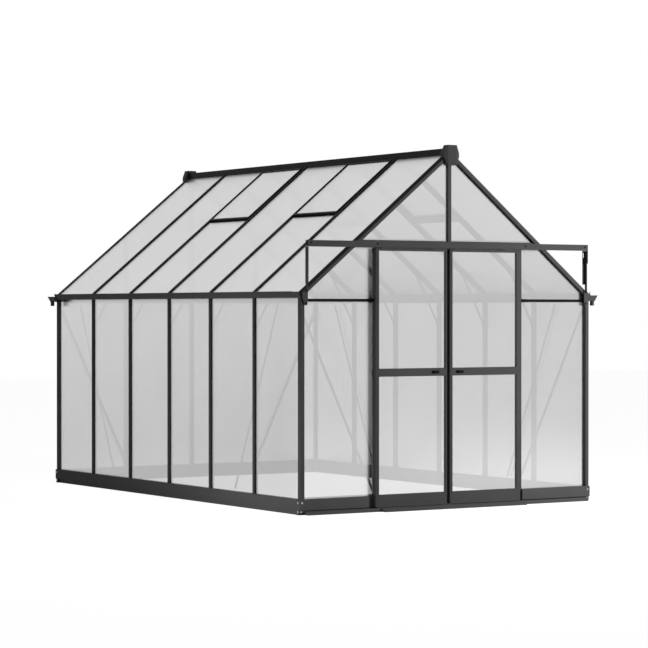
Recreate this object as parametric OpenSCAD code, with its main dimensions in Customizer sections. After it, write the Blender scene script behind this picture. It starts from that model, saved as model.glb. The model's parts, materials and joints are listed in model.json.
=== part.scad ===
// Greenhouse with an aluminium frame, twin-wall panels, a gabled roof and two sliding doors.
// The origin is the middle of the doorway, on the ground, in the plane of the front end frame.
// +X runs to the right along the front, +Y runs back along the sides and +Z is up.

/* [House] */
// Width over the corner posts
house_w = 2408; // [2160:2:3000]
// Length between the planes of the two end frames
house_l = 3660; // [2440:10:7320]
// Number of equal bays along each side
bays = 6; // [4:1:12]
// Height of the gutter's underside
eave_h = 1441; // [1200:1:1700]
// Height where the two roof slopes would meet
apex_h = 2463; // [2200:1:2900]
// Rise from the gutter's underside to the roof's lower edge
eave_rise = 31; // [26:1:50]
// Reach of the roof's lower edge past the corner posts
eave_out = 16; // [10:1:40]

/* [Base] */
// Height of the base rails
base_h = 104; // [80:1:200]
// Height of the set-back foot of the base rails
foot_h = 30; // [26:1:45]
// How far that foot is set back
foot_set = 12; // [6:1:20]
// Sheet thickness of the base rails
base_t = 3; // [2:0.5:5]
// Reach of the base rails past the side posts
base_out = 11; // [4:1:20]

/* [Frame] */
// Width of a corner post along the front
corner_w = 26; // [20:1:40]
// Depth of a corner post along the side
corner_d = 42; // [36:1:60]
// Reach of the corner posts in front of the end frames' plane
corner_front = 16; // [14:1:20]
// Width of the wall posts
bar_w = 24; // [20:1:40]
// Width of the rafters
rafter_w = 20; // [16:1:40]
// How far the wall posts stand out from the panels
post_out = 10; // [6:1:20]
// How far the rafters stand out from the roof panels
rafter_out = 9; // [6:1:25]
// Depth of the bars inside the panels
bar_in = 15; // [10:1:30]
// Thickness of the web between two panels
web_t = 6; // [3:1:10]
// Thickness of the twin-wall panels
panel_t = 6; // [4:1:10]
// Distance from the end frames' plane in to the end panels
end_set = 6; // [2:1:9]
// Face width of the gable rafters
verge_w = 22; // [16:1:50]
// Height of the chamfer along the gable rafters' upper edge
verge_drop = 14; // [8:1:30]
// How far the gable rafters stand out from the end frames' plane
verge_out = 18; // [16:1:20]
// Face width of the bar between the two gable panels
mullion_w = 26; // [18:1:40]
// Height of the rails under the gutters
rail_h = 25; // [15:1:40]
// Depth of the rails under the gutters
rail_d = 15; // [10:1:25]

/* [Gutter and ridge] */
// Reach of the gutter's lip past the roof's lower edge
gutter_out = 63; // [40:1:90]
// Height of the gutter's lip
gutter_h = 41; // [35:1:60]
// Slope of the gutter's outer side, measured across
gutter_lean = 25; // [10:1:35]
// Sheet thickness of the gutter
gutter_t = 3; // [2:0.5:4]
// Length of the end pieces with an outlet
outlet_l = 110; // [80:1:200]
// How far those end pieces hang below the gutter
outlet_drop = 17; // [5:1:25]
// Radius of the outlet spouts
spout_r = 15; // [10:1:20]
// Width of the ridge beam
ridge_w = 68; // [50:1:120]
// Height of the ridge beam
ridge_h = 100; // [90:1:140]
// Height of the ridge caps
cap_h = 138; // [110:1:160]
// Width of the ridge caps
cap_w = 126; // [100:1:180]
// Width of the flat face of the ridge caps
cap_face = 72; // [40:1:90]

/* [Vents] */
// Distance along the slope from the roof's lower edge to a vent
vent_start = 890; // [600:10:1100]
// Width of the lower bar of a vent
vent_bar = 14; // [10:1:35]
// Width of the other bars of a vent
vent_side = 8; // [6:1:25]
// How far a vent stands above the rafters
vent_up = 8; // [0:1:20]
// Bays, counted from the front, which hold a vent
vent_bays = [1, 3];

/* [Braces] */
// Width of the flat braces
brace_w = 18; // [12:1:30]
// Thickness of the flat braces
brace_t = 3; // [2:0.5:5]
// Height of the foot of a knee brace
knee_foot = 1250; // [1100:10:1350]
// Distance up the slope to the top of a knee brace
knee_top = 280; // [200:10:400]

/* [Doorway] */
// Clear width of the doorway
door_clear = 1172; // [900:1:1200]
// Face width of the door jambs
jamb_w = 31; // [22:1:40]
// Height of the header's underside
header_z = 1781; // [1700:1:1850]
// Height of the header
header_h = 43; // [38:1:60]
// Half the length of the header
header_half = 1171; // [1100:1:1300]
// Thickness of the track and of the threshold
track_h = 24; // [16:1:25]
// Reach of the ramp in front of the end frame's plane
ramp_out = 105; // [80:1:150]

/* [Doors] */
// Width of one door leaf
leaf_w = 580; // [560:1:600]
// Gap between the closed leaves
leaf_gap = 24; // [16:0.5:30]
// Sideways shift of the closed pair
leaf_shift = -37.5; // [-40:0.5:0]
// Thickness of a leaf
leaf_d = 24; // [20:1:26]
// Face width of the left stile of a leaf
stile_w = 23; // [16:1:35]
// Face width of the right stile of a leaf
edge_w = 12; // [10:1:35]
// Gap left between the door seal and the other leaf
seal_gap = 5.5; // [5:0.5:8]
// Height of the middle rail
mid_rail_h = 54; // [30:1:80]
// Height of the middle rail's centre
mid_rail_z = 937; // [700:1:1100]
// Height of the bottom rail
low_rail_h = 84; // [50:1:120]
// Height of the top rail
top_rail_h = 16; // [12:1:40]
// Length of a door handle
handle_l = 62; // [40:1:90]
// Height of a door handle
handle_h = 18; // [12:1:30]
// Clearance of everything that moves
clear = 6; // [5:0.5:8]

/* [Hidden] */
$fn = 48;

half_w = house_w / 2;
bay = house_l / bays;
wall_in = post_out + panel_t + bar_in;   // the posts' depth from their outer face
glass_x = half_w - post_out;         // the outer face of the side panels
corner_back = corner_d - corner_front;
gutter_in = half_w - 20;             // the inner face of the box under the roof's edge
eave_x = half_w + eave_out;          // the roof's lower edge
eave_z = eave_h + eave_rise;
slope = atan((apex_h - eave_z) / eave_x);
slope_len = eave_x / cos(slope);
roof_in = rafter_out + panel_t;      // the panels' underside below the rafters' outer line
rafter_in = roof_in + bar_in + 5;    // the rafters' underside below that line
verge_in = verge_drop + verge_w;     // the gable rafters' underside below that line
ridge_half = ridge_w / 2;
ridge_top = apex_h + 9;
box_h = eave_rise - roof_in / cos(slope);   // height of the outer side of the box at the eaves
seat = 0.1;                          // clearance of the sloping seats
end_glass = end_set + panel_t;       // the inner face of the end panels
end_in = corner_back - end_glass;    // depth of the rear posts inside the panels
jamb_x = door_clear / 2;
header_top = header_z + header_h;
leaf_back = verge_out + clear - 1;   // the back of the leaves, in front of the end frame's plane
leaf_front = leaf_back + leaf_d;
leaf_low = track_h + clear;
leaf_top = header_z - clear + 1;
header_front = leaf_front + 3;
beam_front = leaf_back + 8;
tie_h = 20;
sill_h = 9;                          // the bar in front of the gable panels' lower edge
low_web = 2;                         // joint between the front panels and the gable panels
portal_low = leaf_top - 4;           // the underside of the doorway's head
jamb_out = 4;                        // reach of the jambs in front of the end frame's plane
mullion_out = 9;
lip_w = 33;                          // reach of the right leaf's lip past its edge, over the jamb
end_x = 16;                          // reach of the gutter ends inwards from the corner post's face
fin_x = half_w - 4;                  // where the foot of a header strut ends and a fin starts
foot_t = 8;                          // thickness of the foot of a header strut
cap_top = ridge_top + 22;
cap_out = 41;                        // reach of the front cap in front of the end frame's plane

// Height of the line that lies a given depth below the rafters' outer line
function roof_z(x, depth = 0) = eave_z + (eave_x - x) * tan(slope) - depth / cos(slope);

// Distance from the middle at which that line is at a given height
function roof_x(z, depth = 0) = eave_x - (z - eave_z + depth / cos(slope)) / tan(slope);

// Runs an outline that is drawn across the house along its length
module along_y(y0, y1) {
    translate([0, y1, 0]) rotate([90, 0, 0]) linear_extrude(y1 - y0) children();
}

// Runs an outline that is drawn across the end wall along the width
module along_x(x0, x1) {
    translate([x0, 0, 0]) rotate([90, 0, 90]) linear_extrude(x1 - x0) children();
}

// Puts what is drawn for the right-hand side on one side: 1 is right, -1 is left
module on_side(s) {
    mirror([s < 0 ? 1 : 0, 0, 0]) children();
}

module both_sides() {
    children();
    mirror([1, 0, 0]) children();
}

module at_rear() {
    translate([0, house_l, 0]) mirror([0, 1, 0]) children();
}

module both_ends() {
    children();
    at_rear() children();
}

// Lies along the right-hand slope: x up the slope, y along the house, z out of the roof
module on_roof() {
    mirror([1, 0, 0]) translate([-eave_x, 0, eave_z]) rotate([0, -slope, 0]) children();
}

// The band of the right-hand slope between two depths below the rafters' outer line
module roof_band(depth_0, depth_1, x0, x1) {
    polygon([
        [x0, roof_z(x0, depth_0)],
        [x1, roof_z(x1, depth_0)],
        [x1, roof_z(x1, depth_1)],
        [x0, roof_z(x0, depth_1)]
    ]);
}

// A glazing bar: the outer cap, the web between two panels, and the inner box
module bar_profile(w, out, inside) {
    translate([-w / 2, 0]) square([w, out]);
    translate([-web_t / 2, -panel_t]) square([web_t, panel_t]);
    translate([-w / 2, -panel_t - inside]) square([w, inside]);
}

// A base rail, folded from sheet, with its outer face at x = 0
module base_profile(flange) {
    translate([0, base_h - base_t]) square([flange, base_t]);
    translate([0, foot_h]) square([base_t, base_h - foot_h]);
    translate([0, foot_h]) square([foot_set + base_t, base_t]);
    translate([foot_set, 0]) square([base_t, foot_h + base_t]);
    translate([foot_set, 0]) square([flange - foot_set, base_t]);
}

module base_sides() {
    color("dimgray") both_sides() translate([half_w + base_out, 0, 0]) mirror([1, 0, 0])
        along_y(corner_back, house_l - corner_back) base_profile(base_out + wall_in);
}

// The rails at both ends; the front pair has an upstand inside the panels and a closed end
module base_ends() {
    inner = half_w - wall_in;
    start = jamb_x + jamb_w;
    upstand_h = 12;
    color("dimgray") {
        both_sides() {
            translate([0, -corner_front, 0]) along_x(start, inner) base_profile(corner_d);
            translate([start, end_glass, base_h]) cube([inner - start, base_t, upstand_h]);
            translate([start, -corner_front, foot_h])
                cube([base_t, corner_d, base_h - foot_h]);
            translate([start, foot_set - corner_front, 0])
                cube([base_t, corner_d - foot_set, foot_h]);
        }
        at_rear() translate([0, -corner_front, 0])
            along_x(-inner, inner) base_profile(corner_d);
    }
}

// Corner pieces that join the base rails and carry the corner posts
module base_corners() {
    inner = half_w - wall_in;
    color("dimgray") both_ends() both_sides() {
        translate([inner, -corner_front, foot_h])
            cube([base_out + wall_in, corner_d, base_h - foot_h]);
        translate([inner, foot_set - corner_front, 0])
            cube([base_out + wall_in, corner_d - foot_set, foot_h]);
    }
}

module threshold() {
    color("dimgray") translate([-jamb_x, -corner_front, 0]) cube([door_clear, corner_d, track_h]);
}

// The track under the doors, with a guide groove
module door_track() {
    groove_w = 6;
    groove_h = 8;
    color("dimgray") difference() {
        translate([-header_half, -leaf_front - 8, 0])
            cube([2 * header_half, leaf_front + 8 - corner_front, track_h]);
        translate([-house_w, -leaf_back - leaf_d / 2 - groove_w / 2, track_h - groove_h])
            cube([2 * house_w, groove_w, groove_h + 1]);
    }
}

module ramp() {
    color("dimgray") along_x(-jamb_x - 5, jamb_x + 5)
        polygon([[-leaf_front - 8, 0], [-leaf_front - 8, track_h], [-ramp_out, 3], [-ramp_out, 0]]);
}

module corner_posts() {
    color("dimgray") both_ends() both_sides()
        translate([half_w - corner_w, -corner_front, base_h])
            cube([corner_w, corner_d, eave_h - base_h]);
}

module posts_side(s) {
    on_side(s) for (i = [1 : bays - 1])
        translate([glass_x, i * bay, base_h]) rotate([0, 0, -90])
            linear_extrude(eave_h - base_h) bar_profile(bar_w, post_out, bar_in);
}

module posts_left() {
    color("dimgray") posts_side(-1);
}

module posts_right() {
    color("dimgray") posts_side(1);
}

// Three posts which run up from the base to the gable rafters
module rear_posts() {
    color("dimgray") at_rear() for (x = [-half_w / 2, 0, half_w / 2])
        intersection() {
            translate([x, end_set, base_h]) mirror([0, 1, 0])
                linear_extrude(apex_h) bar_profile(bar_w, corner_front + end_set, end_in);
            along_y(-house_l, house_l) under_verge();
        }
}

// The end wall's outline inside the gable rafters and under the ridge cap
module under_verge() {
    intersection() {
        translate([corner_w - half_w, base_h])
            square([house_w - 2 * corner_w, cap_top - base_h - cap_h]);
        polygon([
            [-eave_x, 0],
            [eave_x, 0],
            [eave_x, roof_z(eave_x, verge_in)],
            [0, roof_z(0, verge_in)],
            [-eave_x, roof_z(eave_x, verge_in)]
        ]);
    }
}

// The two jambs of the doorway and the head between them
module door_portal() {
    color("dimgray") {
        both_sides()
            translate([jamb_x, -jamb_out, 0]) cube([jamb_w, jamb_out + corner_back, header_top]);
        translate([-jamb_x, -jamb_out, portal_low])
            cube([door_clear, jamb_out + corner_back, header_top - portal_low]);
    }
}

module gable_mullion() {
    color("dimgray") difference() {
        translate([0, end_set, header_top]) mirror([0, 1, 0])
            linear_extrude(cap_top - cap_h - header_top)
                bar_profile(mullion_w, mullion_out + end_set, bar_in);
        translate([-house_w, end_glass, 0]) cube([2 * house_w, house_l, header_top + tie_h]);
    }
}

// The box under the roof's lower edge, which carries the rafters
module gutter_box() {
    polygon([
        [gutter_in, eave_h],
        [eave_x, eave_h],
        [eave_x, roof_z(eave_x, roof_in)],
        [gutter_in, roof_z(gutter_in, roof_in)]
    ]);
}

// The outline of the trough, as deep as the sheet or full
module trough_profile(full) {
    lip = eave_x + gutter_out;
    top = eave_h + gutter_h;
    difference() {
        polygon([[eave_x, eave_h], [lip - gutter_lean, eave_h], [lip, top], [eave_x, top]]);
        if (!full)
            polygon([
                [eave_x - 1, eave_h + gutter_t],
                [lip - gutter_lean - gutter_t, eave_h + gutter_t],
                [lip - gutter_t, top],
                [lip - gutter_t, top + 1],
                [eave_x - 1, top + 1]
            ]);
    }
}

// One gutter with the box behind it; the trough stops where the piece with the outlet starts
module gutter_side(s) {
    start = s > 0 ? outlet_l : 0;
    stop = s > 0 ? 0 : outlet_l;
    on_side(s) {
        along_y(-corner_front, house_l + corner_front) gutter_box();
        along_y(start - corner_front, house_l + corner_front - stop) trough_profile(false);
    }
}

module gutter_left() {
    color("dimgray") gutter_side(-1);
}

module gutter_right() {
    color("dimgray") gutter_side(1);
}

// The end piece of the right-hand gutter at the front, with a spout under it and a fin over it
module outlet_end() {
    spout_x = eave_x + gutter_out / 2;
    spout_y = spout_r + 7 - corner_front;
    spout_l = 32;
    low = eave_h - outlet_drop;
    fin_low = eave_h - 10;
    fin_top = eave_h + 50;
    difference() {
        union() {
            translate([0, 0, -outlet_drop]) {
                along_y(-corner_front, outlet_l - corner_front) trough_profile(false);
                along_y(-corner_front - gutter_t, -corner_front) trough_profile(true);
            }
            translate([eave_x, -corner_front, low]) cube([gutter_t, outlet_l, outlet_drop]);
            translate([half_w - end_x, -corner_front - gutter_t, low])
                cube([eave_out + end_x + gutter_t, gutter_t, outlet_drop + box_h]);
            along_y(-verge_out - gutter_t, -verge_out)
                polygon([
                    [fin_x, fin_low],
                    [half_w + end_x, fin_low],
                    [half_w + end_x, eave_h + box_h],
                    [half_w + end_x / 2, fin_top],
                    [fin_x, eave_h + box_h]
                ]);
            translate([spout_x, spout_y, low - spout_l])
                cylinder(r = spout_r, h = spout_l + gutter_t / 2);
        }
        translate([spout_x, spout_y, low - spout_l - 1])
            cylinder(r = spout_r - gutter_t, h = spout_l + 2 * gutter_t);
    }
}

// A plate that closes the other end of a gutter
module plain_end() {
    along_y(-corner_front - gutter_t, -corner_front) {
        trough_profile(true);
        translate([half_w - end_x, eave_h])
            square([eave_out + end_x + 1, box_h]);
    }
}

module gutter_ends() {
    color("dimgray") {
        outlet_end();
        at_rear() plain_end();
        mirror([1, 0, 0]) {
            plain_end();
            at_rear() outlet_end();
        }
    }
}

// A box section which the rafters run up to on both sides
module ridge_beam() {
    wall = 4;
    color("dimgray") along_y(end_glass, house_l - end_glass)
        translate([0, ridge_top - ridge_h]) difference() {
            translate([-ridge_half, 0]) square([ridge_w, ridge_h]);
            translate([wall - ridge_half, wall]) square([ridge_w - 2 * wall, ridge_h - 2 * wall]);
        }
}

// The outline of a ridge cap from the front, widest below the middle
module cap_outline(grow) {
    half = cap_w / 2 + grow;
    polygon([
        [-cap_face / 2, cap_top - cap_h],
        [cap_face / 2 + grow, cap_top - cap_h],
        [half, cap_top - 0.6 * cap_h],
        [half, cap_top - 0.4 * cap_h],
        [cap_face / 2 + grow, cap_top],
        [-cap_face / 2 - grow, cap_top],
        [-half, cap_top - 0.4 * cap_h],
        [-half, cap_top - 0.6 * cap_h]
    ]);
}

// The same caps from above, with bevels beside the flat face
module ridge_caps() {
    half = cap_w / 2;
    color("dimgray") both_ends() intersection() {
        along_y(-cap_out, end_glass) cap_outline(0);
        linear_extrude(cap_top + 1)
            polygon([
                [-half, end_glass],
                [-half, 10 - cap_out],
                [-cap_face / 2, -cap_out],
                [cap_face / 2, -cap_out],
                [half, 10 - cap_out],
                [half, end_glass]
            ]);
    }
}

module rafters_side(s) {
    on_side(s) for (i = [1 : bays - 1]) {
        along_y(i * bay - rafter_w / 2, i * bay + rafter_w / 2)
            roof_band(0, rafter_out, ridge_half, eave_x);
        along_y(i * bay - web_t / 2, i * bay + web_t / 2)
            roof_band(rafter_out, roof_in, ridge_half, eave_x);
        along_y(i * bay - rafter_w / 2, i * bay + rafter_w / 2)
            roof_band(roof_in, rafter_in, ridge_half, gutter_in);
    }
}

module rafters_left() {
    color("dimgray") rafters_side(-1);
}

module rafters_right() {
    color("dimgray") rafters_side(1);
}

// Short bars between the rafters, under the lower edge of the vents
module vent_trimmers() {
    color("dimgray") both_sides() for (i = vent_bays)
        on_roof() translate([vent_start - vent_bar, i * bay + rafter_w / 2, -rafter_in])
            cube([2.5 * vent_bar, bay - rafter_w, rafter_in - roof_in]);
}

// The pair of gable rafters at the front, chamfered along the upper edge
module verge_pair() {
    both_sides() intersection() {
        on_roof() rotate([90, 0, 90]) translate([0, 0, -100]) linear_extrude(slope_len + 200)
            polygon([
                [-verge_out, -verge_in],
                [end_glass, -verge_in],
                [end_glass, 0],
                [0, 0],
                [-verge_out, -verge_drop]
            ]);
        along_y(-verge_out - 1, end_glass + 1) difference() {
            translate([cap_face / 2 + 1, eave_h]) square([eave_x - cap_face / 2 - 1, apex_h]);
            gutter_box();
            cap_outline(seat);
            translate([0, cap_top - 0.6 * cap_h]) square([cap_w / 2 + seat, cap_h]);
        }
    }
}

module front_verge() {
    color("dimgray") verge_pair();
}

module rear_verge() {
    color("dimgray") at_rear() verge_pair();
}

// The box section behind the door hangers
module header_beam() {
    color("dimgray") translate([-header_half, -beam_front, header_z + 3])
        cube([2 * header_half, beam_front - verge_out, header_h - 6]);
}

// The face and the lid of the header
module header_fascia() {
    color("dimgray") {
        translate([-header_half, -header_front, header_z])
            cube([2 * header_half, 3, header_h]);
        translate([-header_half, -header_front, header_top - 3])
            cube([2 * header_half, header_front - verge_out, 3]);
    }
}

// Angles that hold the header's ends up from the eaves, each on a foot on the corner post
module header_struts() {
    t = 3;
    wide = 24;
    deep = 40;
    ear_h = 90;
    slot_w = 8;
    slot_h = 33;
    back = verge_out - t;
    low = eave_h + 100;
    heel = eave_h + 50;
    color("dimgray") both_sides() difference() {
        union() {
            translate([header_half - t, -deep, low]) cube([t, deep - back, header_z - low]);
            translate([header_half - t, -deep, heel]) cube([t, deep - verge_out, low + 10 - heel]);
            translate([header_half - t, -header_front, header_z - ear_h])
                cube([t, header_front - deep + 10, ear_h]);
            translate([header_half - wide, -verge_out, low]) cube([wide, t, header_z - low]);
            along_y(-verge_out - foot_t, -verge_out) intersection() {
                strut_foot();
                square([half_w - end_x, apex_h]);
            }
            along_y(-verge_out - foot_t, -corner_front - gutter_t) strut_foot();
            along_y(-verge_out - foot_t, -corner_front) intersection() {
                strut_foot();
                square([half_w - end_x - 2, eave_h]);
            }
        }
        translate([header_half - wide + slot_w / 2, -verge_out - 1, header_z - slot_h - 15])
            cube([slot_w, t + 2, slot_h]);
    }
}

// The foot from the front, wide at the eaves and narrow on the corner post
module strut_foot() {
    in_x = half_w - 47;
    tip_x = half_w - 28;
    tip_w = 14;
    polygon([
        [in_x, eave_h + 60],
        [tip_x, eave_h + 60],
        [fin_x, eave_h + 34],
        [fin_x, eave_h + 4],
        [tip_x, eave_h - 50],
        [tip_x - tip_w, eave_h - 50],
        [in_x, eave_h - 4]
    ]);
}

// Rails inside the side walls and the rear wall, and bars with a bracket across the front panels
module eave_rails() {
    inner = half_w - wall_in;
    start = corner_back + 9;
    rear_half = half_w - corner_w + 4;
    rear_t = 6;
    bar_h = rail_h - 6;
    bracket_w = 42;
    bar_x = jamb_x + jamb_w;
    color("dimgray") {
        both_sides() {
            translate([inner - rail_d, start, eave_h - rail_h])
                cube([rail_d, house_l - 2 * start, rail_h]);
            translate([bar_x, -jamb_out, eave_h - rail_h])
                cube([half_w - corner_w - bar_x, jamb_out + end_set, bar_h]);
            translate([bar_x, -2 * jamb_out, eave_h - rail_h - 1])
                cube([bracket_w, jamb_out, bar_h + 3]);
        }
        at_rear() translate([-rear_half, corner_back, eave_h - rail_h])
            cube([2 * rear_half, rear_t, bar_h]);
    }
}

// The tie inside the front gable, and the bars in front of the gable panels' lower edge
module gable_bars() {
    reach = roof_x(header_top + tie_h, rafter_in) + 10;
    sill_x = roof_x(header_top + sill_h, verge_in) - 2;
    color("dimgray") {
        translate([-reach, end_glass, header_top]) cube([2 * reach, rail_d, tie_h]);
        both_sides() translate([mullion_w / 2, -jamb_out, header_top])
            cube([sill_x - mullion_w / 2, jamb_out + end_set, sill_h]);
    }
}

module wall_panels_side(s) {
    on_side(s) for (i = [0 : bays - 1]) {
        y0 = i == 0 ? corner_back : i * bay + web_t / 2;
        y1 = i == bays - 1 ? house_l - corner_back : (i + 1) * bay - web_t / 2;
        translate([glass_x - panel_t, y0, base_h]) cube([panel_t, y1 - y0, eave_h - base_h]);
    }
}

module wall_panels_left() {
    color("gainsboro", 0.6) wall_panels_side(-1);
}

module wall_panels_right() {
    color("gainsboro", 0.6) wall_panels_side(1);
}

module front_panels() {
    color("gainsboro", 0.6) along_y(end_set, end_glass) intersection() {
        under_verge();
        both_sides() translate([jamb_x + jamb_w, 0])
            square([half_w - corner_w - jamb_x - jamb_w, header_top]);
    }
}

module front_gable_panels() {
    color("gainsboro", 0.6) along_y(end_set, end_glass) intersection() {
        under_verge();
        both_sides() translate([web_t / 2, header_top + low_web]) square([half_w, apex_h]);
    }
}

module rear_panels() {
    third = half_w / 2;
    color("gainsboro", 0.6) at_rear() along_y(end_set, end_glass) intersection() {
        under_verge();
        both_sides() {
            translate([web_t / 2, 0]) square([third - web_t, apex_h]);
            translate([third + web_t / 2, 0]) square([half_w, apex_h]);
        }
    }
}

function has_vent(i) = len([for (v = vent_bays) if (v == i) v]) > 0;

module roof_panels_side(s) {
    on_side(s) for (i = [0 : bays - 1]) {
        y0 = i == 0 ? end_glass : i * bay + web_t / 2;
        y1 = i == bays - 1 ? house_l - end_glass : (i + 1) * bay - web_t / 2;
        upper = has_vent(i) ? eave_x - vent_start * cos(slope) : ridge_half;
        along_y(y0, y1) roof_band(rafter_out + seat, roof_in - seat, upper, eave_x + 8);
    }
}

module roof_panels_left() {
    color("gainsboro", 0.6) roof_panels_side(-1);
}

module roof_panels_right() {
    color("gainsboro", 0.6) roof_panels_side(1);
}

// The lower rear corner of a vent, clear of the roof panel below it and of the rafters
module at_vents() {
    both_sides() for (i = vent_bays)
        on_roof() translate([vent_start + 8, i * bay + rafter_w / 2 + 3, -roof_in]) children();
}

vent_run = (eave_x - ridge_half) / cos(slope) - vent_start - 30;
vent_wide = bay - rafter_w - 6;

// The opening of a vent, between two heights above the panels' underside
module vent_pane(z0, z1) {
    translate([vent_bar, vent_side, z0])
        cube([vent_run - vent_bar - vent_side, vent_wide - 2 * vent_side, z1 - z0]);
}

module vent_frames() {
    color("dimgray") at_vents() difference() {
        translate([0, 0, seat]) cube([vent_run, vent_wide, roof_in + vent_up - seat]);
        vent_pane(-1, roof_in + vent_up + 1);
    }
}

module vent_panels() {
    top = roof_in + vent_up - 7;
    color("gainsboro", 0.6) at_vents() vent_pane(top - panel_t, top);
}

// A flat bar between two points of an upright plane
module flat(a, b) {
    run = norm(b - a);
    turn = atan2(b[1] - a[1], b[0] - a[0]);
    translate(a) rotate(turn) translate([0, -brace_w / 2]) square([run, brace_w]);
}

module wall_braces() {
    inner = half_w - wall_in;
    low = base_h + 16;
    high = eave_h - 80;
    outer = half_w - corner_w + 2;
    color("dimgray") both_sides() {
        along_y(corner_back, corner_back + brace_t)
            flat([outer, high], [jamb_x + jamb_w / 2, low]);
        at_rear() along_y(corner_back, corner_back + brace_t)
            flat([outer, high], [half_w / 2, low]);
        both_ends() along_x(inner - brace_t, inner)
            flat([0.55 * bay, high + 40], [1.5 * bay, low]);
    }
}

// Bent struts between the wall posts and the rafters, with a tab along each
module knee_braces() {
    inner = half_w - wall_in;
    tab = 50;
    bend = 6;
    top_x = eave_x - knee_top * cos(slope) - rafter_in * sin(slope);
    top_z = eave_z + knee_top * sin(slope) - rafter_in * cos(slope);
    up_x = top_x - tab * cos(slope);
    up_z = top_z + tab * sin(slope);
    color("dimgray") both_sides() for (i = [1 : bays - 1])
        along_y(i * bay - brace_w / 2, i * bay + brace_w / 2)
            polygon([
                [inner, knee_foot - tab],
                [inner, knee_foot + bend],
                [top_x + bend, top_z - bend * tan(slope)],
                [up_x, up_z],
                [up_x - brace_t * sin(slope), up_z - brace_t * cos(slope)],
                [top_x - brace_t, top_z - brace_t - 1],
                [inner - brace_t, knee_foot],
                [inner - brace_t, knee_foot - tab]
            ]);
}

// A door leaf from x = 0 towards +X, with two hangers between the header's face and its beam
module leaf_frame() {
    hang_y = (leaf_front - beam_front) / 2;
    plate_w = 50;
    plate_h = 20;
    plate_t = 4;
    roller_r = 10;
    roller_t = 6;
    apart = 14;
    color("dimgray") translate([0, -leaf_front, 0]) {
        difference() {
            translate([0, 0, leaf_low]) cube([leaf_w, leaf_d, leaf_top - leaf_low]);
            leaf_openings(-1, leaf_d + 2);
        }
        for (x = [80, leaf_w - 80]) {
            translate([x - plate_w / 2, hang_y - plate_t / 2, leaf_top])
                cube([plate_w, plate_t, plate_h]);
            for (dx = [-apart, apart])
                translate([x + dx, hang_y - roller_t / 2, leaf_top + plate_h + 2])
                    rotate([-90, 0, 0]) cylinder(r = roller_r, h = roller_t);
        }
    }
}

// The two panes of a leaf, from a given depth behind its face
module leaf_openings(y, depth) {
    mid_low = mid_rail_z - mid_rail_h / 2;
    mid_high = mid_rail_z + mid_rail_h / 2;
    wide = leaf_w - stile_w - edge_w;
    translate([stile_w, y, leaf_low + low_rail_h])
        cube([wide, depth, mid_low - leaf_low - low_rail_h]);
    translate([stile_w, y, mid_high])
        cube([wide, depth, leaf_top - top_rail_h - mid_high]);
}

module leaf_panels() {
    color("gainsboro", 0.6) translate([0, -leaf_front, 0]) leaf_openings(10, panel_t);
}

// Places a leaf on the left or on the right; the two are alike
module left_leaf() {
    translate([leaf_shift - leaf_gap / 2 - leaf_w, 0, 0]) children();
}

module right_leaf() {
    translate([leaf_shift + leaf_gap / 2, 0, 0]) children();
}

// A handle on the middle rail, from a given distance along the leaf
module handle(x) {
    deep = 14;
    color("black") translate([x, -leaf_front - deep, mid_rail_z - handle_h / 2])
        cube([handle_l, deep, handle_h]);
}

module door_left_frame() {
    left_leaf() leaf_frame();
}

module door_left_panels() {
    left_leaf() leaf_panels();
}

// The seal stands back from the leaf's face
module door_left_seal() {
    back_by = 12;
    seal_d = 10;
    color("black") left_leaf() translate([leaf_w, back_by - leaf_front, leaf_low])
        cube([leaf_gap - seal_gap, seal_d, leaf_top - leaf_low]);
}

module door_left_handle() {
    left_leaf() handle(leaf_w - 2 * handle_l - 2);
}

// The right leaf has a lip at the back of its right edge, which covers the gap beside the jamb
module door_right_frame() {
    lip_t = 3;
    right_leaf() {
        leaf_frame();
        color("dimgray") translate([leaf_w, -leaf_back - lip_t, leaf_low])
            cube([lip_w, lip_t, leaf_top - leaf_low]);
    }
}

module door_right_panels() {
    right_leaf() leaf_panels();
}

module door_right_handle() {
    right_leaf() handle(54);
}

base_sides();
base_ends();
base_corners();
threshold();
door_track();
ramp();
corner_posts();
posts_left();
posts_right();
rear_posts();
door_portal();
gable_mullion();
gutter_left();
gutter_right();
gutter_ends();
ridge_beam();
ridge_caps();
rafters_left();
rafters_right();
vent_trimmers();
front_verge();
rear_verge();
header_beam();
header_fascia();
header_struts();
eave_rails();
gable_bars();
wall_panels_left();
wall_panels_right();
front_panels();
rear_panels();
front_gable_panels();
roof_panels_left();
roof_panels_right();
vent_frames();
vent_panels();
wall_braces();
knee_braces();
door_left_frame();
door_left_panels();
door_left_seal();
door_left_handle();
door_right_frame();
door_right_panels();
door_right_handle();
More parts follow.
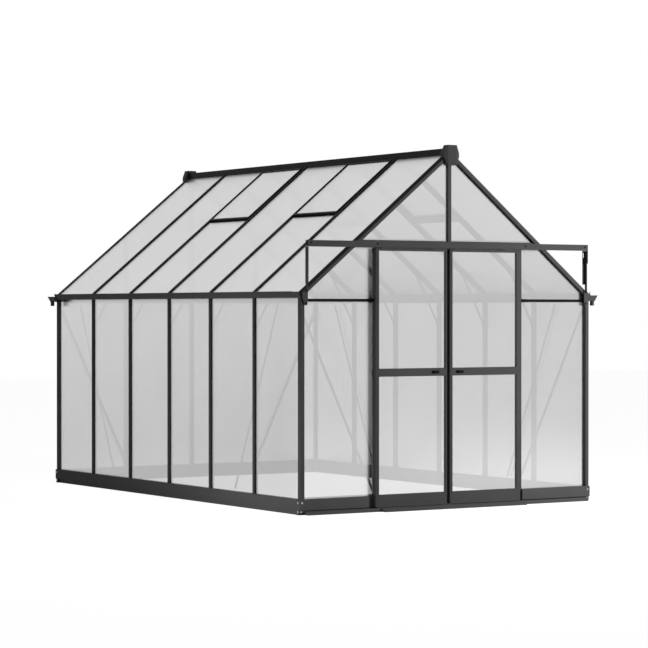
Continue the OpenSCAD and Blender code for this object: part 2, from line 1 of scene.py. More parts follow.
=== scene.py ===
import json
import math
import bmesh
import bpy
import numpy as np
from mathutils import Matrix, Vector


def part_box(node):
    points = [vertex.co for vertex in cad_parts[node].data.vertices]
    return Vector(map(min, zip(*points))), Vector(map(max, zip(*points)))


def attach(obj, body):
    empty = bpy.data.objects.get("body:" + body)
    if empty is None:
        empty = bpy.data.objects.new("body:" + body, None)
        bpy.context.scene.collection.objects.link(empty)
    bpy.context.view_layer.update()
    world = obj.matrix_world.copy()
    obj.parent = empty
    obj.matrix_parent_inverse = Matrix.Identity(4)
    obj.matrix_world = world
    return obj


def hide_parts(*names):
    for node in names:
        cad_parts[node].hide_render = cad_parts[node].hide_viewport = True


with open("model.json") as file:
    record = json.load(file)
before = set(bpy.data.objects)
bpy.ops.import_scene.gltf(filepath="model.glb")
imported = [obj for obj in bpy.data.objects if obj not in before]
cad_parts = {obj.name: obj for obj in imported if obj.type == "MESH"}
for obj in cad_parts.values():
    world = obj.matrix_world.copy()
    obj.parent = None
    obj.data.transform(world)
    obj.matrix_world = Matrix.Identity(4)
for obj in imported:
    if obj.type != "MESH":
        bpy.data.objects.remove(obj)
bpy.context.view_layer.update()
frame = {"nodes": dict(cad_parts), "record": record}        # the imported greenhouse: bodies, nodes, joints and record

mm = 0.001  # sizes below are in millimetres unless a note says metres


def linearColour(hexText):
    # sRGB hex to the linear numbers that shaders use
    parts = [int(hexText[i:i + 2], 16) / 255 for i in (1, 3, 5)]
    return [v / 12.92 if v <= 0.04045 else ((v + 0.055) / 1.055) ** 2.4 for v in parts] + [1.0]


def addNode(tree, kind, settings=None, links=None):
    # one node: settings go to its properties or its sockets, links join its sockets to others
    node = tree.nodes.new(kind)
    for name, value in (settings or {}).items():
        if isinstance(name, int) or name in node.inputs:
            node.inputs[name].default_value = value
        else:
            setattr(node, name, value)
    for name, socket in (links or {}).items():
        tree.links.new(socket, node.inputs[name])
    return node


def newMaterial(name):
    material = bpy.data.materials.new(name)
    material.use_nodes = True
    material.node_tree.nodes.clear()
    return material, material.node_tree


cameraView = {
    "eye": (-9.6447, -13.7776, 1.3577),  # metres, from the middle of the doorway
    "turn": 32.06,                       # degrees to the right of straight in
    "tilt": -0.32,                       # degrees above level
    "lens": 135.54,                      # on a 36 mm wide sensor
}


def addCamera(view):
    data = bpy.data.cameras.new("camera")
    data.lens = view["lens"]
    data.sensor_width = 36.0
    data.clip_end = 200.0
    camera = bpy.data.objects.new("camera", data)
    camera.location = view["eye"]
    camera.rotation_euler = (math.radians(90 + view["tilt"]), 0, -math.radians(view["turn"]))
    bpy.context.scene.collection.objects.link(camera)
    bpy.context.scene.camera = camera


addCamera(cameraView)
print("camera placed")

studio = {
    "floorSize": 60.0,       # metres
    "roomLevel": 0.06,       # light from all round that reaches the surfaces
    "floorPaint": 0.4,       # how much lamplight the floor sends back, which is what a shadow takes away
    "floorGlow": 0.95,       # how near to white the floor is without any lamp
    "floorInMirrors": 0.82,  # share of that glow in glossy surfaces, which get the lamplight as well
    "lamps": {               # place and aim in metres, watts, size in metres, spread in degrees
        "frontLamp": ((3.7, -3.8, 1.9), (0.1, 0.0, 1.25), 238, 0.3, 170),
        "sideLamp": ((-3.8, 0.1, 0.45), (-1.2, 0.5, 0.2), 9, 0.8, 90),
    },
}


def whiteToView(tree, inMirrors):
    # 1 for the camera and through glass, a share of it in mirrors, and 0 for the light on surfaces
    path = addNode(tree, "ShaderNodeLightPath")
    mirrors = addNode(tree, "ShaderNodeMath", {"operation": "MULTIPLY", 1: inMirrors},
                      {0: path.outputs["Is Glossy Ray"]})
    seen = addNode(tree, "ShaderNodeMath", {"operation": "MAXIMUM"},
                   {0: path.outputs["Is Camera Ray"], 1: mirrors.outputs[0]})
    seen = addNode(tree, "ShaderNodeMath", {"operation": "MAXIMUM"},
                   {0: seen.outputs[0], 1: path.outputs["Is Transmission Ray"]})
    return seen.outputs[0]


def buildWorld(settings):
    world = bpy.data.worlds.new("studio")
    world.use_nodes = True
    tree = world.node_tree
    tree.nodes.clear()
    dim = addNode(tree, "ShaderNodeBackground", {"Color": (1, 1, 1, 1), "Strength": settings["roomLevel"]})
    white = addNode(tree, "ShaderNodeBackground", {"Color": (1, 1, 1, 1), "Strength": 1.0})
    mix = addNode(tree, "ShaderNodeMixShader", {},
                  {0: whiteToView(tree, 1.0), 1: dim.outputs[0], 2: white.outputs[0]})
    addNode(tree, "ShaderNodeOutputWorld", {}, {"Surface": mix.outputs[0]})
    bpy.context.scene.world = world


def buildFloor(settings):
    half = settings["floorSize"] / 2
    mesh = bpy.data.meshes.new("floor")
    mesh.from_pydata([(-half, -half, 0), (half, -half, 0), (half, half, 0), (-half, half, 0)], [],
                     [(0, 1, 2, 3)])
    floor = bpy.data.objects.new("floor", mesh)
    bpy.context.scene.collection.objects.link(floor)
    material, tree = newMaterial("palePaintedFloor")
    grey = settings["floorPaint"]
    paint = addNode(tree, "ShaderNodeBsdfDiffuse", {"Color": (grey, grey, grey, 1)})
    level = addNode(tree, "ShaderNodeMath", {"operation": "MULTIPLY", 1: settings["floorGlow"]},
                    {0: whiteToView(tree, settings["floorInMirrors"])})
    glow = addNode(tree, "ShaderNodeEmission", {"Color": (1, 1, 1, 1)}, {"Strength": level.outputs[0]})
    both = addNode(tree, "ShaderNodeAddShader", {}, {0: paint.outputs[0], 1: glow.outputs[0]})
    addNode(tree, "ShaderNodeOutputMaterial", {}, {"Surface": both.outputs[0]})
    mesh.materials.append(material)


def addLamps(settings):
    for name, (place, aim, watts, size, spread) in settings["lamps"].items():
        data = bpy.data.lights.new(name, "AREA")
        data.energy = watts
        data.size = size
        data.spread = math.radians(spread)
        lamp = bpy.data.objects.new(name, data)
        lamp.location = place
        away = np.subtract(place, aim)
        lamp.rotation_euler = (math.atan2(math.hypot(away[0], away[1]), away[2]), 0,
                               math.atan2(away[0], -away[1]))
        lamp.visible_camera = False
        lamp.visible_glossy = False
        bpy.context.scene.collection.objects.link(lamp)


buildWorld(studio)
buildFloor(studio)
addLamps(studio)
bpy.context.scene.view_settings.view_transform = "Standard"
print("studio built")


def coatedMetal(name, colour, roughness):
    # aluminium or steel with a baked powder coat: an even satin skin with a fine pebbled surface
    material, tree = newMaterial(name)
    place = addNode(tree, "ShaderNodeTexCoord")
    cloud = addNode(tree, "ShaderNodeTexNoise", {"Scale": 1 / (260 * mm), "Detail": 3.0},
                    {"Vector": place.outputs["Object"]})      # slow change of shade, 260 mm across
    grit = addNode(tree, "ShaderNodeTexNoise", {"Scale": 1 / (1.6 * mm), "Detail": 2.0},
                   {"Vector": place.outputs["Object"]})       # pebbles of the coat, 1.6 mm
    shade = addNode(tree, "ShaderNodeMix", {"data_type": "RGBA", "blend_type": "MULTIPLY", 0: 0.22,
                                            6: linearColour(colour)},
                    {7: cloud.outputs["Fac"]})
    rough = addNode(tree, "ShaderNodeMapRange", {"To Min": roughness - 0.07, "To Max": roughness + 0.07},
                    {"Value": grit.outputs["Fac"]})
    bump = addNode(tree, "ShaderNodeBump", {"Strength": 0.25, "Distance": 0.12 * mm},
                   {"Height": grit.outputs["Fac"]})
    shader = addNode(tree, "ShaderNodeBsdfPrincipled", {"Specular IOR Level": 0.06},
                     {"Base Color": shade.outputs[2], "Roughness": rough.outputs[0],
                      "Normal": bump.outputs[0]})
    addNode(tree, "ShaderNodeOutputMaterial", {}, {"Surface": shader.outputs[0]})
    return material


def mouldedPlastic(name, colour, roughness, grain):
    # injection-moulded ABS or rubber: matt, with the spark-eroded grain of the mould
    material, tree = newMaterial(name)
    place = addNode(tree, "ShaderNodeTexCoord")
    grit = addNode(tree, "ShaderNodeTexVoronoi", {"Scale": 1 / (grain * mm)},
                   {"Vector": place.outputs["Object"]})
    shade = addNode(tree, "ShaderNodeMix", {"data_type": "RGBA", "blend_type": "MULTIPLY", 0: 0.3,
                                            6: linearColour(colour)},
                    {7: grit.outputs["Distance"]})
    bump = addNode(tree, "ShaderNodeBump", {"Strength": 0.3, "Distance": 0.1 * mm},
                   {"Height": grit.outputs["Distance"]})
    shader = addNode(tree, "ShaderNodeBsdfPrincipled",
                     {"Specular IOR Level": 0.15, "Roughness": roughness},
                     {"Base Color": shade.outputs[2], "Normal": bump.outputs[0]})
    addNode(tree, "ShaderNodeOutputMaterial", {}, {"Surface": shader.outputs[0]})
    return material


sheet = {
    "frontHaze": "#dfdfdf",     # light that the sheets of the ends and the doors send back, set lighter than on the walls and roof: painted light
    "sideHaze": "#d7d7d7",      # the same on the side walls, set a little darker: painted shade
    "roofHaze": "#d6d6d6",      # and on the roof, set darker still: painted shade
    "tint": (0.985, 0.985, 0.985, 1),   # what a sheet lets through
    "shares": ((0.154, 0.73), (0.47, 0.77), (0.684, 0.94)),   # slant of the view, share of haze there
    "flute": 15.0,              # spacing of the webs, drawn wider than the real 6 mm so that it shows
    "fluteShows": 0.012,        # how much the haze rises and falls from web to web
}


def twinWall(name, axis, haze, settings):
    # extruded twin-wall polycarbonate: clear skins, and webs between them which scatter the light
    # more the flatter it is looked at; the back faces let everything through
    material, tree = newMaterial(name)
    place = addNode(tree, "ShaderNodeTexCoord")
    split = addNode(tree, "ShaderNodeSeparateXYZ", {}, {"Vector": place.outputs["Object"]})
    perMetre = 2 * math.pi / (settings["flute"] * mm)
    turn = addNode(tree, "ShaderNodeMath", {"operation": "MULTIPLY", 1: perMetre}, {0: split.outputs[axis]})
    wave = addNode(tree, "ShaderNodeMath", {"operation": "SINE"}, {0: turn.outputs[0]})
    cloud = addNode(tree, "ShaderNodeTexNoise", {"Scale": 1 / (420 * mm), "Detail": 2.0},
                    {"Vector": place.outputs["Object"]})      # slow change of the haze, 420 mm across
    facing = addNode(tree, "ShaderNodeLayerWeight", {"Blend": 0.5})
    (slant0, share0), (slant1, share1), (slant2, share2) = settings["shares"]
    low = addNode(tree, "ShaderNodeMapRange",
                  {"From Min": slant0, "From Max": slant1, "To Min": share0, "To Max": share1},
                  {"Value": facing.outputs["Facing"]})
    high = addNode(tree, "ShaderNodeMapRange",
                   {"From Min": slant1, "From Max": slant2, "To Min": 0.0, "To Max": share2 - share1},
                   {"Value": facing.outputs["Facing"]})
    share = addNode(tree, "ShaderNodeMath", {"operation": "ADD"}, {0: low.outputs[0], 1: high.outputs[0]})
    flutes = addNode(tree, "ShaderNodeMath", {"operation": "MULTIPLY_ADD", 1: settings["fluteShows"]},
                     {0: wave.outputs[0], 2: share.outputs[0]})
    uneven = addNode(tree, "ShaderNodeMapRange", {"To Min": 0.96, "To Max": 1.04},
                     {"Value": cloud.outputs["Fac"]})
    white = addNode(tree, "ShaderNodeMix", {"data_type": "RGBA", "blend_type": "MULTIPLY", 0: 1.0,
                                            6: linearColour(haze)},
                    {7: uneven.outputs[0]})
    clear = addNode(tree, "ShaderNodeBsdfTransparent", {"Color": settings["tint"]})
    shine = addNode(tree, "ShaderNodeBsdfGlossy", {"Roughness": 0.25}, {"Color": white.outputs[2]})
    veil = addNode(tree, "ShaderNodeMixShader", {},
                   {0: flutes.outputs[0], 1: clear.outputs[0], 2: shine.outputs[0]})
    through = addNode(tree, "ShaderNodeBsdfTransparent", {"Color": (1, 1, 1, 1)})
    side = addNode(tree, "ShaderNodeNewGeometry")
    mix = addNode(tree, "ShaderNodeMixShader", {},
                  {0: side.outputs["Backfacing"], 1: veil.outputs[0], 2: through.outputs[0]})
    addNode(tree, "ShaderNodeOutputMaterial", {}, {"Surface": mix.outputs[0]})
    return material


def zincPlate(name, colour):
    # steel screws with bright zinc: a cold metal shine, a little duller in patches of a few millimetres
    material, tree = newMaterial(name)
    place = addNode(tree, "ShaderNodeTexCoord")
    bloom = addNode(tree, "ShaderNodeTexNoise", {"Scale": 1 / (4 * mm), "Detail": 2.0},
                    {"Vector": place.outputs["Object"]})
    rough = addNode(tree, "ShaderNodeMapRange", {"To Min": 0.28, "To Max": 0.5},
                    {"Value": bloom.outputs["Fac"]})
    shade = addNode(tree, "ShaderNodeMix", {"data_type": "RGBA", "blend_type": "MULTIPLY", 0: 0.25,
                                            6: linearColour(colour)},
                    {7: bloom.outputs["Fac"]})
    shader = addNode(tree, "ShaderNodeBsdfPrincipled", {"Metallic": 1.0},
                     {"Base Color": shade.outputs[2], "Roughness": rough.outputs[0]})
    addNode(tree, "ShaderNodeOutputMaterial", {}, {"Surface": shader.outputs[0]})
    return material


finishes = {
    "frame": coatedMetal("anthracitePowderCoat", "#585859", 0.5),
    "base": coatedMetal("anthraciteSheetCoat", "#616162", 0.55),
    "brace": coatedMetal("darkCoatedSteel", "#4a4a4b", 0.6),
    "seal": mouldedPlastic("blackRubber", "#1c1c1c", 0.85, 0.8),
    "moulding": mouldedPlastic("darkMouldedPlastic", "#505051", 0.6, 0.9),
    # painted shade: the frame's powder coat drawn near black for the members below; the header screws take the same
    # dark coat
    "deep": coatedMetal("nearBlackCoatPaintedShade", "#1f1f20", 0.45),
    "screw": zincPlate("zincPlatedScrews", "#d8d8d6"),
}
paintedShadeNodes = ("ridge_beam", "vent_frames", "eave_rails")    # painted shade: these get the frame's powder coat drawn near black
# one sheet in three copies, each set lighter or darker as painted light and shade
frontSheet = twinWall("twinWallPolycarbonateEnds", "X", sheet["frontHaze"], sheet)   # webs spaced along X
sideSheet = twinWall("twinWallPolycarbonateWalls", "Y", sheet["sideHaze"], sheet)    # webs spaced along Y
roofSheet = twinWall("twinWallPolycarbonateRoof", "Y", sheet["roofHaze"], sheet)
slots = {part["node"]: part["material_slot"] for part in frame["record"]["subparts"]}
for node, thing in frame["nodes"].items():
    if slots[node] == "panel":
        onRoof = "roof" in node or "vent" in node
        finish = sideSheet if "wall" in node else roofSheet if onRoof else frontSheet
    else:
        finish = finishes["deep" if node in paintedShadeNodes else slots[node]]
    thing.data.materials.clear()
    thing.data.materials.append(finish)
print("finishes assigned")


def addShells(name, shells, body, finish):
    # shells is a block of points (shell, ring, point round the ring, xyz): neighbouring rings are joined
    # by quads, and a flat face closes the first and the last ring of each shell
    count, rings, sides = shells.shape[:3]
    index = np.arange(count * rings * sides).reshape(count, rings, sides)
    after = np.roll(index, -1, axis=2)
    quads = np.stack([index[:, :-1], after[:, :-1], after[:, 1:], index[:, 1:]], axis=-1).reshape(-1, 4)
    ends = np.concatenate([index[:, 0, ::-1], index[:, -1]])
    mesh = bpy.data.meshes.new(name)
    mesh.from_pydata(shells.reshape(-1, 3).tolist(), [], quads.tolist() + ends.tolist())
    work = bmesh.new()
    work.from_mesh(mesh)
    bmesh.ops.recalc_face_normals(work, faces=work.faces)
    work.to_mesh(mesh)
    work.free()
    piece = bpy.data.objects.new(name, mesh)
    bpy.context.scene.collection.objects.link(piece)
    mesh.materials.append(finishes[finish])
    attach(piece, body)
    return piece


def carried(outline, paths, across, rise):
    # point = path point + first number of the outline times the across direction
    #         + second number times the rise direction, all in metres
    outline = np.asarray(outline, float)
    paths, across, rise = np.broadcast_arrays(np.asarray(paths, float), across, rise)
    return (paths[..., None, :] + outline[:, :1] * across[..., None, :]
            + outline[:, 1:] * rise[..., None, :])


headShapes = {
    # radius and height of each ring, from the washer's rim to the socket or the crown
    "screw": [(6.5, -0.6), (6.5, 1.0), (4.6, 1.2), (4.6, 3.2), (3.6, 4.4), (2.2, 4.6), (2.0, 3.2)],
    "dome": [(7.0, -0.6), (7.0, 1.0), (5.0, 1.2), (4.8, 2.8), (3.4, 4.4), (1.2, 5.0)],
    "sides": 12,
}


def turnedHeads(shape, places, outward):
    # point = place + radius times the direction at each angle round the outward axis
    #         + height times the outward direction
    outline, sides = np.array(headShapes[shape]) * mm, headShapes["sides"]
    places, outward = np.broadcast_arrays(np.asarray(places, float), np.asarray(outward, float))
    outward = outward / np.linalg.norm(outward, axis=1, keepdims=True)
    first = np.cross(outward, np.where(np.abs(outward[:, 2:]) < 0.9, (0.0, 0.0, 1.0), (1.0, 0.0, 0.0)))
    first = first / np.linalg.norm(first, axis=1, keepdims=True)
    second = np.cross(outward, first)
    angle = 2 * np.pi * np.arange(sides) / sides
    spokes = (np.cos(angle)[:, None] * first[:, None, :] + np.sin(angle)[:, None] * second[:, None, :])
    return (places[:, None, None, :] + outline[:, 0][None, :, None, None] * spokes[:, None, :, :]
            + outline[:, 1][None, :, None, None] * outward[:, None, None, :])


def cornersOf(node):
    # every corner of a node's mesh, in metres
    vertices = frame["nodes"][node].data.vertices
    points = np.empty(len(vertices) * 3)
    vertices.foreach_get("co", points)
    return points.reshape(-1, 3)


def mirrored(points):
    # the same points on the other side of the ridge line
    return points * np.array([-1.0, 1.0, 1.0])


def leftmost(points):
    # the points that lie in the leftmost plane, to a tenth of a millimetre
    return points[points[:, 0] < points[:, 0].min() + 0.1 * mm]


def slopeLine(node):
    # lower and upper end of the outer line of a left-hand sloping bar
    points = cornersOf(node)
    low = leftmost(points)
    return low[low[:, 2].argmax()], points[points[:, 2].argmax()]


def straightBars(start, end):
    # one two-point path for each bar; x, y and z are single numbers or one number for each bar
    start = np.stack(np.broadcast_arrays(*start), axis=-1)
    end = np.stack(np.broadcast_arrays(*end), axis=-1)
    start, end = np.broadcast_arrays(np.atleast_2d(start), np.atleast_2d(end))
    return np.stack([start, end], axis=1)


def nodeBox(node):
    low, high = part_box(node)
    return np.array(low), np.array(high)


along = np.array([0.0, 1.0, 0.0])
upward = np.array([0.0, 0.0, 1.0])
sideways = np.array([1.0, 0.0, 0.0])
rafterFoot, rafterHead = slopeLine("rafters_left")
upSlope = np.array([rafterHead[0] - rafterFoot[0], 0.0, rafterHead[2] - rafterFoot[2]])
upSlope = upSlope / np.linalg.norm(upSlope)
offRoof = np.array([-upSlope[2], 0.0, upSlope[0]])   # straight out of the left-hand slope
postLow, postHigh = nodeBox("posts_left")
halfPost, halfRafter = 12 * mm, 10 * mm               # half the face widths of the bars
barY = np.linspace(postLow[1] + halfPost, postHigh[1] - halfPost, 5)   # middles of posts and rafters
houseMiddle = (postLow[1] + postHigh[1]) / 2


def toRear(points):
    # the same points at the other end of the house
    return points * np.array([1.0, -1.0, 1.0]) + np.array([0.0, 2 * houseMiddle, 0.0])


def bothSides(left):
    # the given points and the same ones on the right-hand side
    return np.concatenate([left, mirrored(left)])


ribs = {
    "wide": 2.6,          # each raised rib of a post or rafter
    "proud": 1.1,
    "apart": 13.0,        # from one rib to the other
    "ends": 3.0,          # left free at both ends
    "cornerApart": 26.0,  # the same on a corner post
    "cornerDeep": 42.0,   # depth of a corner post
}


def ribOutline(wide, proud):
    # a low rib with sloping sides that is sunk half a millimetre into the face it stands on
    return np.array([(-0.5 * wide, -0.5), (-0.5 * wide, 0.2 * proud), (-0.3 * wide, proud),
                     (0.3 * wide, proud), (0.5 * wide, 0.2 * proud), (0.5 * wide, -0.5)]) * mm


def addRibs(settings):
    outline = ribOutline(settings["wide"], settings["proud"])
    pair = np.array([-1.0, 1.0]) * settings["apart"] / 2 * mm
    free = settings["ends"] * mm
    ribY = (barY[:, None] + pair).ravel()
    low, high = postLow[2] + free, postHigh[2] - free
    paths = straightBars((postLow[0], ribY, low), (postLow[0], ribY, high))
    addShells("postRibs", bothSides(carried(outline, paths, along, -sideways)), "house", "frame")

    foot, head = rafterFoot + free * upSlope, rafterHead - free * upSlope
    paths = straightBars((foot[0], ribY, foot[2]), (head[0], ribY, head[2]))
    addShells("rafterRibs", bothSides(carried(outline, paths, along, offRoof)), "house", "frame")

    pair = np.array([-1.0, 1.0]) * settings["cornerApart"] / 2 * mm
    cornerX, cornerY = nodeBox("corner_posts")[0][:2]
    faceY = cornerY + settings["cornerDeep"] / 2 * mm + pair
    faceY = np.concatenate([faceY, 2 * houseMiddle - faceY])
    paths = straightBars((cornerX, faceY, low), (cornerX, faceY, high))
    addShells("cornerPostRibs", bothSides(carried(outline, paths, along, -sideways)),
              "house", "frame")


addRibs(ribs)
print("ribs on posts and rafters")

gasket = {
    "wide": 7.0,         # the black line that shows beside a glazing bar
    "proud": 1.5,
    "capDeep": 9.0,      # from the rafters' outer line down to the roof panels
    "vergeDeep": 36.0,   # from that line down to the underside of the gable rafters
    # the strip there: distance in from the panels' face, and height above that underside
    "vergeOutline": [(-6.0, 0.5), (5.0, 0.5), (5.0, -5.0), (0.0, -5.0), (-6.0, -2.0)],
    "vergeEnds": (20.0, 60.0),   # where it starts and stops, from the eaves and from the ridge
}


def addGaskets(settings):
    wide, proud, sunk = settings["wide"] * mm, settings["proud"] * mm, 0.3 * mm
    outline = [(0.0, -sunk), (0.0, proud), (0.4 * wide, proud), (wide, 0.3 * proud), (wide, -sunk)]
    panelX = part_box("wall_panels_left")[0][0]
    walls, roofs = [], []
    foot = rafterFoot - settings["capDeep"] * mm * offRoof
    head = rafterHead - settings["capDeep"] * mm * offRoof
    for side in (-1.0, 1.0):     # before and behind each bar
        y = barY + side * halfPost
        paths = straightBars((panelX, y, postLow[2]), (panelX, y, postHigh[2]))
        walls.append(carried(outline, paths, side * along, -sideways))
        y = barY + side * halfRafter
        paths = straightBars((foot[0], y, foot[2]), (head[0], y, head[2]))
        roofs.append(carried(outline, paths, side * along, offRoof))
    addShells("wallGaskets", bothSides(np.concatenate(walls)), "house", "seal")
    addShells("roofGaskets", bothSides(np.concatenate(roofs)), "house", "seal")

    outline = np.array(settings["vergeOutline"]) * mm
    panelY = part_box("front_gable_panels")[0][1]
    start, stop = settings["vergeEnds"]
    under = settings["vergeDeep"] * mm * offRoof
    foot = rafterFoot - under + start * mm * upSlope
    head = rafterHead - under - stop * mm * upSlope
    paths = straightBars((foot[0], panelY, foot[2]), (head[0], panelY, head[2]))
    front = bothSides(carried(outline, paths, along, offRoof))
    addShells("gableGaskets", np.concatenate([front, toRear(front)]), "house", "seal")


addGaskets(gasket)
print("gaskets")

baseScrews = {
    "heights": (21.0, 81.0),   # of the two screws in each face of a base corner
    "footTop": 30.0,           # below this the front of a base corner is set back
    "footIn": 12.0,
    "inwards": 19.0,           # from the corner's edge on the front face
    "back": 23.0,              # and on the side face
}


def addBaseScrews(settings):
    low = nodeBox("base_corners")[0]
    places, faces = [], []
    for z in settings["heights"]:
        setBack = settings["footIn"] * mm if z < settings["footTop"] else 0.0
        places.append((low[0] + settings["inwards"] * mm, low[1] + setBack, z * mm))
        faces.append(-along)
        places.append((low[0], low[1] + settings["back"] * mm, z * mm))
        faces.append(-sideways)
    places, faces = bothSides(np.array(places)), bothSides(np.array(faces))
    places = np.concatenate([places, toRear(places)])
    faces = np.concatenate([faces, faces * np.array([1.0, -1.0, 1.0])])
    addShells("baseScrews", turnedHeads("screw", places, faces), "house", "screw")


addBaseScrews(baseScrews)

braceThick = 3 * mm    # the flat bar of the knee braces and the wall braces
innerX = nodeBox("knee_braces")[0][0] + braceThick    # the inner face of the bars on the left wall
kneeScrews = {
    "up": 22.0,         # from the lower end of a knee brace's tab
    "upSlope": 307.0,   # from the eaves, on the tab under the rafter
    "deep": 38.0,       # from the rafters' outer line down to the underside of that tab
}


def addKneeScrews(settings):
    tabZ = nodeBox("knee_braces")[0][2] + settings["up"] * mm
    tab = np.stack(np.broadcast_arrays(innerX, barY, tabZ), axis=-1)
    upper = rafterFoot + settings["upSlope"] * mm * upSlope - settings["deep"] * mm * offRoof
    roofTab = np.stack(np.broadcast_arrays(upper[0], barY, upper[2]), axis=-1)
    left = np.concatenate([turnedHeads("dome", tab, [sideways]), turnedHeads("dome", roofTab, [-offRoof])])
    addShells("kneeScrews", bothSides(left), "house", "brace")


addKneeScrews(kneeScrews)

braceScrews = {
    "sideWall": ((350.0, 1378.0), (900.0, 136.0)),     # y and z of a brace's two ends
    "endWall": ((-1174.0, 1348.0), (-607.0, 133.0)),   # x and z of a brace's two ends
}


def addBraceScrews(settings):
    places = np.array([(innerX, y * mm, z * mm) for y, z in settings["sideWall"]])
    sideHeads = turnedHeads("dome", np.concatenate([places, toRear(places)]), [sideways])
    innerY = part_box("wall_braces")[0][1] + braceThick
    places = np.array([(x * mm, innerY, z * mm) for x, z in settings["endWall"]])
    endHeads = turnedHeads("dome", places, [along])
    left = np.concatenate([sideHeads, endHeads, toRear(endHeads)])
    addShells("braceScrews", bothSides(left), "house", "brace")


addBraceScrews(braceScrews)

headerScrews = {
    "foot": ((-1170.0, 1486.0), (-1170.0, 1405.0)),   # x and z on the foot of a strut
    "onlyFoot": 1420.0,   # nothing of a strut but its foot reaches below this height
    "endIn": 25.0,        # the header's outer screw, from its end
    "innerX": -620.0,     # place of the inner one
    "up": 4.0,            # both stand this far above the middle of the header's face
}


def addHeaderScrews(settings):
    strut = cornersOf("header_struts")
    footY = strut[strut[:, 2] < settings["onlyFoot"] * mm][:, 1].min()   # the front face of the feet
    dots = [(x * mm, footY, z * mm) for x, z in settings["foot"]]
    low, high = nodeBox("header_fascia")
    rowZ = (low[2] + high[2]) / 2 + settings["up"] * mm
    row = [(x, low[1], rowZ) for x in (low[0] + settings["endIn"] * mm, settings["innerX"] * mm)]
    left = turnedHeads("dome", np.array(dots + row), [-along])
    addShells("headerScrews", bothSides(left), "house", "deep")


addHeaderScrews(headerScrews)
print("screw heads")

pull = {
    "thick": 5.0,     # the bar of a door pull
    "square": 5.0,    # how flat the arch is between its feet
    "soften": 0.5,    # how rounded the bar's outline is: 1 is an ellipse, 0 a box
    "crowded": 1.5,   # how much closer the rings are at the feet: 1 spaces them evenly
    "rings": 41,
    "points": 20,
}


def addPull(side, settings):
    # the bar's middle line runs along x from foot to foot as t goes from -1 to 1, and stands out by
    # depth times (1 - |t| to the power "square"); the bar's outline is a rounded box
    low, high = nodeBox(f"door_{side}_handle")
    thick = settings["thick"] * mm
    t = np.linspace(-1.0, 1.0, settings["rings"])
    t = np.sign(t) * (1 - (1 - np.abs(t)) ** settings["crowded"])
    reach = (high[1] - low[1] - thick / 2) * (1 - np.abs(t) ** settings["square"])
    x = (low[0] + high[0]) / 2 + t * (high[0] - low[0] - thick) / 2
    path = np.stack([x, high[1] - reach, np.full(t.size, (low[2] + high[2]) / 2)], -1)
    ahead = np.gradient(path, axis=0)
    ahead = ahead / np.linalg.norm(ahead, axis=1, keepdims=True)
    outwards = np.cross(ahead, upward)
    angle = 2 * np.pi * np.arange(settings["points"]) / settings["points"]
    around = np.stack([np.cos(angle), np.sin(angle)], -1)
    around = np.sign(around) * np.abs(around) ** settings["soften"]
    outline = around * ((high[2] - low[2]) / 2, thick / 2)
    bar = carried(outline, path[None], np.broadcast_to(upward, path.shape)[None], outwards[None])
    piece = addShells(f"doorPull{side.title()}", bar, f"door_{side}", "seal")
    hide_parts(f"door_{side}_handle")


for side in ("left", "right"):
    addPull(side, pull)
print("door pulls")

leafRibs = {
    "wide": 2.4,
    "proud": 0.9,
    "bottomRail": 84.0,            # height of the bottom rail
    "middleRail": (910.0, 964.0),  # lower and upper edge of the middle rail
    "railRows": (0.28, 0.72),      # heights of the ribs in each rail, as a share of it
    "railEnds": (25.0, 13.0),      # where they start and stop, from the leaf's edges
    "stileAt": (8.0, 16.0),        # from the edge of the wide stile
    "stileEnds": (4.0, 1772.0),    # above the leaf's lower edge, and above the ground
}


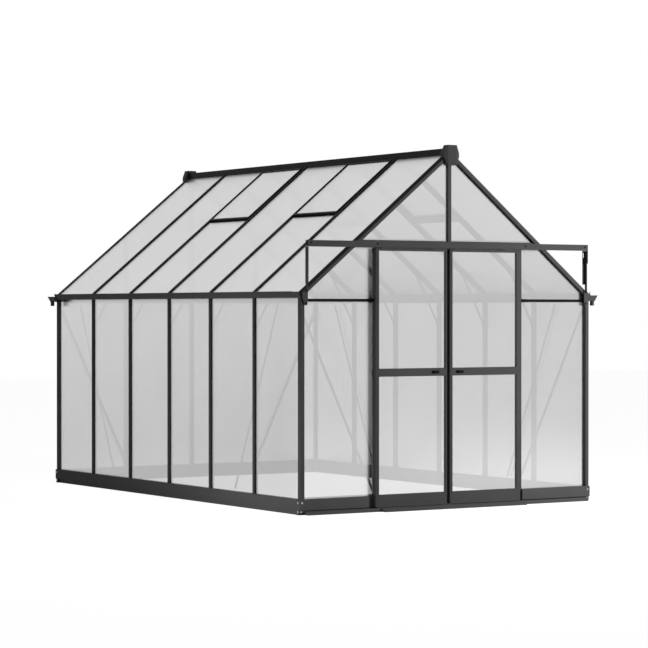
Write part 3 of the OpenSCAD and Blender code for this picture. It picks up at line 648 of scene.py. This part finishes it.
def addLeafRibs(side, settings):
    low, high = nodeBox(f"door_{side}_frame")
    outline = ribOutline(settings["wide"], settings["proud"])
    middleLow, middleHigh = settings["middleRail"]
    rails = ((low[2], low[2] + settings["bottomRail"] * mm), (middleLow * mm, middleHigh * mm))
    rows = np.array([a + (b - a) * share for a, b in rails for share in settings["railRows"]])
    fromLeft, fromRight = settings["railEnds"]
    paths = straightBars((low[0] + fromLeft * mm, low[1], rows), (high[0] - fromRight * mm, low[1], rows))
    lying = carried(outline, paths, upward, -along)
    stile = low[0] + np.array(settings["stileAt"]) * mm
    fromLow, top = settings["stileEnds"]
    paths = straightBars((stile, low[1], low[2] + fromLow * mm), (stile, low[1], top * mm))
    standing = carried(outline, paths, sideways, -along)
    addShells(f"leafRibs{side.title()}", np.concatenate([lying, standing]), f"door_{side}", "frame")


for side in ("left", "right"):
    addLeafRibs(side, leafRibs)
print("leaf ribs")

tread = {
    "rows": 6,              # ribs against slipping on the ramp
    "span": (0.12, 0.88),   # the first and the last, as a share of the way up
    "wide": 3.0,
    "proud": 1.4,
    "noseHigh": 3.0,        # height of the ramp's front edge
    "ends": 4.0,            # left free at both ends
}


def addTread(settings):
    low, high = nodeBox("ramp")
    nose, free = settings["noseHigh"] * mm, settings["ends"] * mm
    climb = np.array([0.0, high[1] - low[1], high[2] - nose])
    climb = climb / np.linalg.norm(climb)
    lift = np.array([0.0, -climb[2], climb[1]])     # straight out of the ramp's face
    share = np.linspace(*settings["span"], settings["rows"])
    y = low[1] + (high[1] - low[1]) * share
    z = nose + (high[2] - nose) * share
    paths = straightBars((low[0] + free, y, z), (high[0] - free, y, z))
    outline = ribOutline(settings["wide"], settings["proud"])
    addShells("rampTread", carried(outline, paths, climb, lift), "house", "base")


addTread(tread)
print("ramp tread")

bead = {
    "radius": 3.6,     # the rolled lip of a gutter
    "drop": 0.4,       # its middle below the trough's edge, as a share of the radius
    "points": 12,
    "ends": 1.0,       # left free at both ends
}


def addBeads(settings):
    # a round bar along the outer upper edge of each trough; the right-hand trough is the left-hand one
    # turned half round, so its bead is the left one mirrored both ways
    edge = leftmost(cornersOf("gutter_left"))
    lip = edge[edge[:, 2].argmax()]
    radius, free = settings["radius"] * mm, settings["ends"] * mm
    angle = 2 * np.pi * np.arange(settings["points"]) / settings["points"]
    outline = radius * np.stack([np.cos(angle), np.sin(angle)], -1)
    x, z = lip[0] + radius, lip[2] - settings["drop"] * radius
    path = straightBars((x, edge[:, 1].min() + free, z), (x, edge[:, 1].max() - free, z))
    left = carried(outline, path, sideways, upward)
    addShells("gutterBeads", np.concatenate([left, toRear(mirrored(left))]), "house", "frame")


addBeads(bead)
print("gutter beads")
